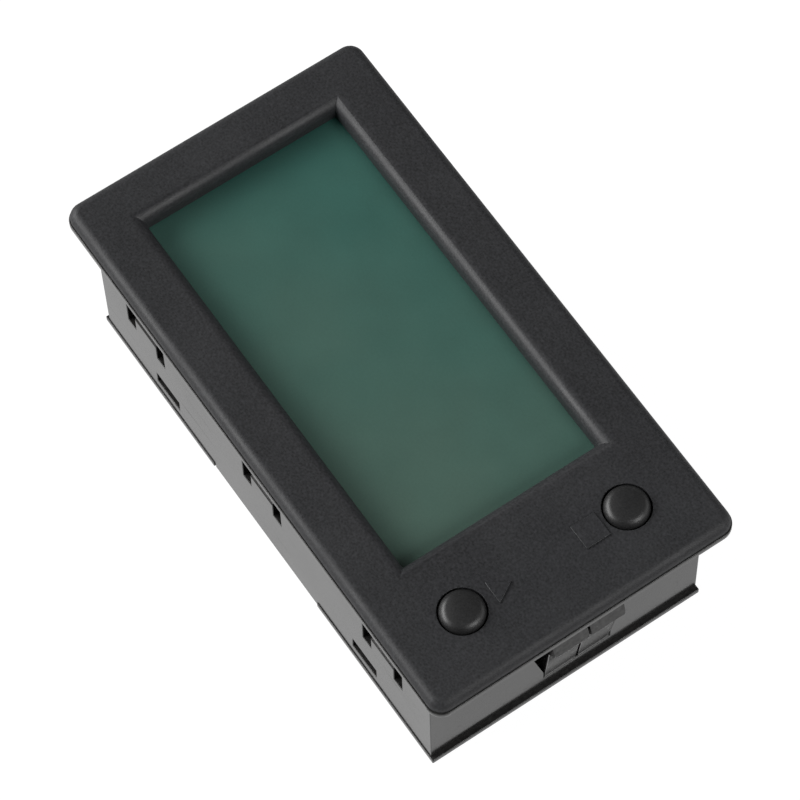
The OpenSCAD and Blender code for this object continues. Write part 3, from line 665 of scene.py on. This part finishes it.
def moulded_piece(name, node, material, rounds, segments=2):
    """A copy of a CAD node with its triangles joined and its hard edges rounded.

    rounds lists (radius, test) pairs; each hard edge is rounded by the first test that it passes,
    and stays sharp where that radius is 0.
    """
    bm = bmesh.new()
    bm.from_mesh(frame["nodes"][node].data)
    bmesh.ops.remove_doubles(bm, verts=bm.verts, dist=WELD)
    bmesh.ops.dissolve_limit(bm, angle_limit=FLAT, verts=bm.verts, edges=bm.edges)
    turn = bm.edges.layers.int.new("turn")
    # Marks the rounded edges; materials make them glossier and paint them paler as a painted
    # highlight.
    polish = bm.verts.layers.float.new("edge_polish")
    for edge in hard_edges(bm):
        edge[turn] = next(number for number, (_, test) in enumerate(rounds, 1) if test(edge))
    for number, (radius, _) in enumerate(rounds, 1):
        edges = [e for e in bm.edges if e[turn] == number]
        if edges and radius:
            round_edges(bm, edges, radius, segments, polish)
    bmesh.ops.recalc_face_normals(bm, faces=bm.faces)
    put_in_order(bm)
    mesh = bpy.data.meshes.new(name)
    bm.to_mesh(mesh)
    bm.free()
    for leftover in ("custom_normal", "turn"):
        if leftover in mesh.attributes:
            mesh.attributes.remove(mesh.attributes[leftover])
    mesh.polygons.foreach_set("use_smooth", [True] * len(mesh.polygons))
    mesh.set_sharp_from_angle(angle=HARD)
    piece = bpy.data.objects.new(name, mesh)
    bpy.context.scene.collection.objects.link(piece)
    even = piece.modifiers.new("even shading", "WEIGHTED_NORMAL")
    even.keep_sharp = True
    set_material(piece, material)
    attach(piece, body_of(node))
    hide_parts(node)
    return piece


def middle(edge):
    return (edge.verts[0].co + edge.verts[1].co) / 2


def every_edge(edge):
    return True


def is_mark_edge(edge):
    """True for the upper edges and the corners of the marks raised on the bezel's face."""
    return middle(edge).z > FACE_HIGH.z - 0.75 * MARK_HEIGHT


def is_mark_foot(edge):
    """True for the edges where the raised marks meet the bezel's face."""
    return any(abs(face.calc_center_median().z - FACE_HIGH.z + MARK_HEIGHT / 2) < MARK_HEIGHT / 10
               for face in edge.link_faces)


class PieceOperator:
    """What the operators share: they run in the 3D view and can be undone"""
    bl_options = {"REGISTER", "UNDO"}

    @classmethod
    def poll(cls, context):
        return hasattr(context.scene, "display_head")


class DISPLAYHEAD_OT_case(PieceOperator, bpy.types.Operator):
    """Round and finish the bezel, the rear housing, the rear cover and the window gasket"""
    bl_idname = "display_head.case"
    bl_label = "Case"

    def execute(self, context):
        case = context.scene.display_head.case
        rim_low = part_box("rear_housing")[1].z

        def is_rim_edge(edge):
            here = middle(edge)
            return abs(here.z - rim_low) < RIM_DEPTH and (
                abs(here.x) > FACE_HIGH.x - RIM_BAND or abs(here.y) > FACE_HIGH.y - RIM_BAND)

        matt = finish("bezel_plastic", bezel_plastic, case)
        moulded_piece("bezel", "front_bezel", matt,
                      [(case.mark_round, is_mark_edge), (0, is_mark_foot),
                       (case.rim_round, is_rim_edge), (case.edge_round, every_edge)],
                      case.round_segments)
        plastic = finish("housing_plastic", housing_plastic, case, case.housing_colour)
        for name, node in (("housing", "rear_housing"), ("back_cover", "rear_cover")):
            moulded_piece(name, node, plastic,
                          [(case.edge_round, every_edge)], case.round_segments)
        finish_nodes(finish("gasket_foam", gasket_foam), "window_gasket", "zebra_strip")
        return {"FINISHED"}


class DISPLAYHEAD_OT_latches(PieceOperator, bpy.types.Operator):
    """Round and finish the four sprung latch arms"""
    bl_idname = "display_head.latches"
    bl_label = "Latch arms"

    def execute(self, context):
        case = context.scene.display_head.case
        # housing plastic in a paler copy: painted light for the floor's reflection in the arms
        plastic = finish("latch_plastic", housing_plastic, case, case.latch_painted_paler_colour)
        for end in ("right", "left"):
            for side in ("upper", "lower"):
                moulded_piece(f"latch_{end}_{side}", f"latch_arm_{end}_{side}", plastic,
                              [(case.edge_round, every_edge)],
                              case.round_segments)
        return {"FINISHED"}


class DISPLAYHEAD_OT_buttons(PieceOperator, bpy.types.Operator):
    """Round and finish the two button caps"""
    bl_idname = "display_head.buttons"
    bl_label = "Button caps"

    def execute(self, context):
        case = context.scene.display_head.case
        plastic = finish("button_plastic", button_plastic, case)
        for side in ("upper", "lower"):
            moulded_piece(f"button_{side}", f"button_cap_{side}", plastic,
                          [(case.edge_round, every_edge)], case.round_segments)
        return {"FINISHED"}


class DISPLAYHEAD_OT_display(PieceOperator, bpy.types.Operator):
    """Finish the films, the glass cell, its seal, the backlight and the frame"""
    bl_idname = "display_head.display"
    bl_label = "Display"

    def execute(self, context):
        display = context.scene.display_head.display
        finish_nodes(finish("display_film", display_film, display), "lcd_front_polarizer")
        finish_nodes(finish("rear_film", rear_film), "lcd_rear_polarizer")
        finish_nodes(finish("display_glass", display_glass, display),
                     "lcd_front_glass", "lcd_rear_glass")
        finish_nodes(finish("cell_seal", cell_seal), "lcd_seal")
        finish_nodes(finish("white_film", white_film),
                     "diffuser_sheet", "reflector_sheet", "lcd_frame")
        finish_nodes(finish("clear_plastic", clear_plastic), "light_guide")
        finish_nodes(finish("led_package", led_package), "backlight_leds")
        return {"FINISHED"}


class DISPLAYHEAD_OT_boards(PieceOperator, bpy.types.Operator):
    """Finish both circuit boards, their screws and the connectors that join them"""
    bl_idname = "display_head.boards"
    bl_label = "Boards"

    def execute(self, context):
        boards = context.scene.display_head.boards
        finish_nodes(finish("circuit_board", circuit_board, boards),
                     "main_board", "connector_board")
        finish_nodes(finish("steel", steel), "main_board_screws", "connector_board_screws")
        finish_nodes(finish("black_resin", resin, boards), "board_socket")
        finish_nodes(finish("header_pins", header_pins), "board_header")
        return {"FINISHED"}


class DISPLAYHEAD_OT_components(PieceOperator, bpy.types.Operator):
    """Finish the chips and small parts on the boards"""
    bl_idname = "display_head.components"
    bl_label = "Components"

    def execute(self, context):
        boards = context.scene.display_head.boards
        chips = finish("chip_package", chip_package, boards)
        finish_nodes(chips, "microcontroller", "display_driver", "memory_chip", "voltage_regulator")
        finish_nodes(finish("steel", steel), "crystal")
        finish_nodes(finish("capacitor_sleeve", capacitor_sleeve), "electrolytic_capacitors")
        finish_nodes(finish("ceramic", ceramic), "ceramic_capacitors", "input_fuse")
        finish_nodes(finish("resistor_body", resistor_body), "chip_resistors")
        finish_nodes(finish("black_resin", resin, boards), "power_choke")
        return {"FINISHED"}


class DISPLAYHEAD_OT_switches(PieceOperator, bpy.types.Operator):
    """Finish the push switches under the buttons"""
    bl_idname = "display_head.switches"
    bl_label = "Switches"

    def execute(self, context):
        boards = context.scene.display_head.boards
        for side in ("upper", "lower"):
            finish_nodes(finish("black_resin", resin, boards),
                         f"switch_base_{side}", f"switch_plunger_{side}")
            finish_nodes(finish("steel", steel), f"switch_cover_{side}", f"switch_dome_{side}")
        return {"FINISHED"}


class DISPLAYHEAD_OT_socket(PieceOperator, bpy.types.Operator):
    """Round and finish the cable socket, and finish its pins"""
    bl_idname = "display_head.socket"
    bl_label = "Cable socket"

    def execute(self, context):
        boards = context.scene.display_head.boards
        nylon = finish("socket_plastic", socket_plastic, boards)
        moulded_piece("cable_connector", "cable_socket", nylon,
                      [(boards.part_round, every_edge)])
        finish_nodes(finish("steel", steel), "cable_socket_pins")
        return {"FINISHED"}


# ---------------------------------------------------------------- stage

def floor_material(name, stage):
    """Pale floor: lit softly from above, and clear when seen from below."""
    material, tree, shader = new_material(name, Roughness=0.9, Specular_IOR_Level=0.0)
    shader.inputs["Base Color"].default_value = rgba(stage.floor_colour)
    rays = add(tree, "ShaderNodeLightPath").outputs
    mirrored = calculate(tree, "MULTIPLY", rays["Is Glossy Ray"], stage.floor_mirror)
    seen = calculate(tree, "MAXIMUM", rays["Is Camera Ray"],
                     calculate(tree, "MAXIMUM", mirrored, rays["Is Transmission Ray"]))
    lift = calculate(tree, "MULTIPLY", seen, stage.floor_lift)
    tree.links.new(lift, shader.inputs["Emission Strength"])
    shader.inputs["Emission Color"].default_value = (1, 1, 1, 1)
    clear = add(tree, "ShaderNodeBsdfTransparent")
    side = add(tree, "ShaderNodeNewGeometry").outputs["Backfacing"]
    both = add(tree, "ShaderNodeMixShader", {0: side, 1: shader.outputs[0], 2: clear.outputs[0]})
    tree.links.new(both.outputs[0], tree.nodes["Material Output"].inputs["Surface"])
    return material


def add_floor(stage):
    bm = bmesh.new()
    bmesh.ops.create_circle(bm, cap_ends=True, segments=FLOOR_SIDES, radius=stage.floor_size)
    bmesh.ops.translate(bm, verts=bm.verts, vec=(0, 0, CAD_BOX[0].z - FLOOR_GAP))
    mesh = bpy.data.meshes.new("floor")
    bm.to_mesh(mesh)
    bm.free()
    floor = bpy.data.objects.new("floor", mesh)
    bpy.context.scene.collection.objects.link(floor)
    set_material(floor, floor_material("floor_paper", stage))


def add_sky(stage):
    """An even room that is darker behind the camera."""
    world = bpy.data.worlds.new("studio")
    bpy.context.scene.world = world
    world.use_nodes = True
    tree = world.node_tree
    outwards = add(tree, "ShaderNodeTexCoord").outputs["Generated"]
    to_camera = Vector(stage.camera_place) - Vector(stage.camera_aim)
    forward = Vector((to_camera.x, to_camera.y, 0)).normalized()
    facing = add(tree, "ShaderNodeVectorMath", {0: outwards, 1: forward}, operation="DOT_PRODUCT")
    shade = ramp(tree, facing.outputs["Value"], stage.sky, stage.front, 0.2, 0.9)
    tree.links.new(shade, tree.nodes["Background"].inputs["Strength"])
    tree.nodes["Background"].inputs["Color"].default_value = (1, 1, 1, 1)


def add_softbox(name, place_at, aim, width, height, power):
    light = bpy.data.lights.new(name, "AREA")
    light.shape = "RECTANGLE"
    light.size, light.size_y = width, height
    light.energy = power
    lamp = bpy.data.objects.new(name, light)
    lamp.location = place_at
    lamp.rotation_euler = (Vector(aim) - Vector(place_at)).to_track_quat("-Z", "Y").to_euler()
    bpy.context.scene.collection.objects.link(lamp)


def add_camera(stage):
    camera = bpy.data.objects.new("camera", bpy.data.cameras.new("camera"))
    camera.data.lens = stage.focal_length
    camera.data.sensor_width = SENSOR_WIDTH
    camera.data.clip_start, camera.data.clip_end = CLIP_START, CLIP_END
    back = Vector(stage.camera_place) - Vector(stage.camera_aim)
    camera.rotation_mode = "QUATERNION"
    roll = Quaternion((0, 0, 1), stage.camera_roll)
    camera.rotation_quaternion = back.to_track_quat("Z", "Y") @ roll
    camera.location = stage.camera_place
    bpy.context.scene.collection.objects.link(camera)
    bpy.context.scene.camera = camera


class DISPLAYHEAD_OT_stage(PieceOperator, bpy.types.Operator):
    """Add the floor, the sky, the softboxes and the camera"""
    bl_idname = "display_head.stage"
    bl_label = "Stage"

    def execute(self, context):
        stage = context.scene.display_head.stage
        context.scene.view_settings.view_transform = "Standard"
        add_floor(stage)
        add_sky(stage)
        aim = (CAD_BOX[0] + CAD_BOX[1]) / 2
        for name, place_at, width, height in SOFTBOXES:
            add_softbox(name, place_at, aim, width, height, getattr(stage, name + "_power"))
        add_camera(stage)
        return {"FINISHED"}


# ---------------------------------------------------------------- panel and start

OPERATORS = (
    DISPLAYHEAD_OT_case, DISPLAYHEAD_OT_latches, DISPLAYHEAD_OT_buttons, DISPLAYHEAD_OT_display,
    DISPLAYHEAD_OT_boards, DISPLAYHEAD_OT_components, DISPLAYHEAD_OT_switches,
    DISPLAYHEAD_OT_socket, DISPLAYHEAD_OT_stage,
)


class DISPLAYHEAD_PT_panel(bpy.types.Panel):
    """Lists the display head's pieces and settings in the sidebar"""
    bl_label = "Display head"
    bl_idname = "DISPLAYHEAD_PT_panel"
    bl_space_type = "VIEW_3D"
    bl_region_type = "UI"
    bl_category = "Display head"

    def draw(self, context):
        settings = context.scene.display_head
        for operator in OPERATORS:
            self.layout.operator(operator.bl_idname)
        for group in (settings.case, settings.display, settings.boards, settings.stage):
            box = self.layout.box()
            for name in group.bl_rna.properties.keys():
                if name not in ("rna_type", "name"):
                    box.prop(group, name)


CLASSES = (CaseSettings, DisplaySettings, BoardSettings, StageSettings, DisplayHeadSettings,
           *OPERATORS, DISPLAYHEAD_PT_panel)


def register():
    for each in CLASSES:
        bpy.utils.register_class(each)
    bpy.types.Scene.display_head = PointerProperty(type=DisplayHeadSettings)


def unregister():
    del bpy.types.Scene.display_head
    for each in reversed(CLASSES):
        bpy.utils.unregister_class(each)


def main():
    register()
    bpy.ops.display_head.case()
    bpy.ops.display_head.latches()
    bpy.ops.display_head.buttons()
    bpy.ops.display_head.display()
    bpy.ops.display_head.boards()
    bpy.ops.display_head.components()
    bpy.ops.display_head.switches()
    bpy.ops.display_head.socket()
    bpy.ops.display_head.stage()


if __name__ == "__main__":
    main()
